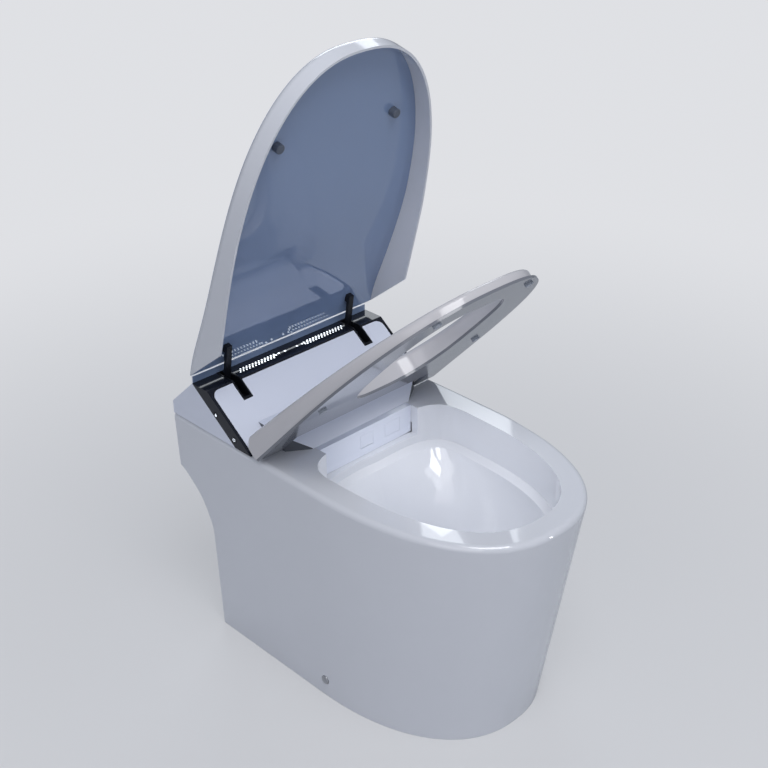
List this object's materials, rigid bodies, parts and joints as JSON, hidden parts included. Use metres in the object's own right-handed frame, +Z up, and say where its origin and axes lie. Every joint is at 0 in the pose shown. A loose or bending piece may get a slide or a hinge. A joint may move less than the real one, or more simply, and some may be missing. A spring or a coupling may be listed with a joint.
{
  "type": "smart toilet with heated seat",
  "caption": "Skirted ceramic toilet with a low machine housing, a part-open lid and heated seat, a sliding bidet wand, a warm-air dryer flap and push buttons at the side.",
  "frame": {"origin": "centre of the waste outlet, on the floor", "axes": "+Z up, +Y towards the wall behind, +X to the right for someone who faces the toilet"},
  "size_m": [0.42, 0.7019, 1.0711],
  "materials": {
    "ceramic": "gloss white glaze",
    "white_plastic": "gloss white",
    "lid_white": "gloss white",
    "lining": "gloss pale grey",
    "black_gloss": "gloss black",
    "grey_plastic": "matte grey",
    "lens": "smoked glass",
    "board": "satin green",
    "rubber": "matte pale grey",
    "black_rubber": "matte black",
    "steel": "brushed",
    "brass": "plain",
    "aluminium": "bare"
  },
  "bodies": {
    "base": {"ceramic_bowl": "ceramic", "floor_brackets": "steel", "side_screws": "steel", "screw_caps": "white_plastic", "outlet_seal": "black_rubber", "housing_shell": "white_plastic", "bezel": "black_gloss", "front_panel": "white_plastic", "display_lens": "lens", "display_board": "board", "rear_screws": "steel", "slot_trims": "black_gloss", "hinge_cover": "lining", "bridge_cover": "white_plastic", "chassis": "grey_plastic", "lid_bearings": "grey_plastic", "lid_motor": "steel", "lid_damper": "grey_plastic", "seat_bearings": "grey_plastic", "seat_gear_unit": "grey_plastic", "wand_motor": "steel", "wand_housing": "white_plastic", "wand_guide": "grey_plastic", "fan_case": "grey_plastic", "fan_motor": "steel", "dryer_heater": "aluminium", "heater_tank": "grey_plastic", "water_pump": "grey_plastic", "inlet_valve": "brass", "water_inlet": "brass", "power_gland": "black_rubber", "diverter_valve": "grey_plastic", "flush_valve": "grey_plastic", "control_board": "board", "power_supply": "grey_plastic", "odour_filter": "grey_plastic", "button_board": "board"},
    "lid": {"lid_shell": "lid_white", "lid_liner": "lining", "lid_bumpers": "rubber", "lid_arm_left": "black_gloss", "lid_arm_right": "black_gloss", "lid_shaft": "steel"},
    "seat_drive": {"seat_shaft": "steel"},
    "seat_hub": {"seat_clutch": "steel"},
    "seat": {"seat_top": "white_plastic", "seat_base": "white_plastic", "seat_heater": "aluminium", "seat_pins": "steel", "seat_bumpers": "rubber"},
    "wand": {"wand_tube": "white_plastic", "wand_tip": "white_plastic", "wand_shutter": "white_plastic"},
    "pinion": {"wand_pinion": "grey_plastic"},
    "flap": {"dryer_flap": "white_plastic"},
    "impeller": {"fan_impeller": "grey_plastic"},
    "upper_button": {"flush_button": "black_gloss"},
    "lower_button": {"power_button": "black_gloss"}
  },
  "joints": [
    {"name": "lid_hinge", "type": "hinge", "parent": "base", "child": "lid", "pos_m": [0, 0.218, 0.479], "axis": [-1, 0, 0], "range_deg": [-75, 22]},
    {"name": "seat_follow", "type": "hinge", "parent": "base", "child": "seat_drive", "pos_m": [0, 0.068, 0.44], "axis": [-1, 0, 0], "range_deg": [-46.9, 13.8]},
    {"name": "seat_lower", "type": "hinge", "parent": "seat_drive", "child": "seat_hub", "pos_m": [0, 0.068, 0.44], "axis": [1, 0, 0], "range_deg": [0, 46.8]},
    {"name": "seat_raise", "type": "hinge", "parent": "seat_hub", "child": "seat", "pos_m": [0, 0.068, 0.44], "axis": [-1, 0, 0], "range_deg": [0, 33]},
    {"name": "wand_slide", "type": "slide", "parent": "base", "child": "wand", "axis": [0, -0.9397, -0.342], "range_m": [0, 0.12]},
    {"name": "pinion_spin", "type": "hinge", "parent": "base", "child": "pinion", "pos_m": [0, 0.08257, 0.39737], "axis": [1, 0, 0], "range_deg": [0, 690]},
    {"name": "dryer_flap_hinge", "type": "hinge", "parent": "base", "child": "flap", "pos_m": [0.061, 0.0235, 0.4074], "axis": [-1, 0, 0], "range_deg": [0, 70]},
    {"name": "fan_spin", "type": "hinge", "parent": "base", "child": "impeller", "pos_m": [0.104, 0.176, 0.4], "axis": [0, 0, 1], "continuous": true},
    {"name": "upper_button_press", "type": "slide", "parent": "base", "child": "upper_button", "axis": [1, 0, 0], "range_m": [0, 0.0012], "stiffness_N_per_m": 600, "springref_m": -0.0005},
    {"name": "lower_button_press", "type": "slide", "parent": "base", "child": "lower_button", "axis": [1, 0, 0], "range_m": [0, 0.0012], "stiffness_N_per_m": 600, "springref_m": -0.0005}
  ],
  "couplings": [
    {"joint": "seat_follow", "follows": "lid_hinge", "ratio": 0.624},
    {"joint": "pinion_spin", "follows": "wand_slide", "rad_per_m": 100}
  ]
}
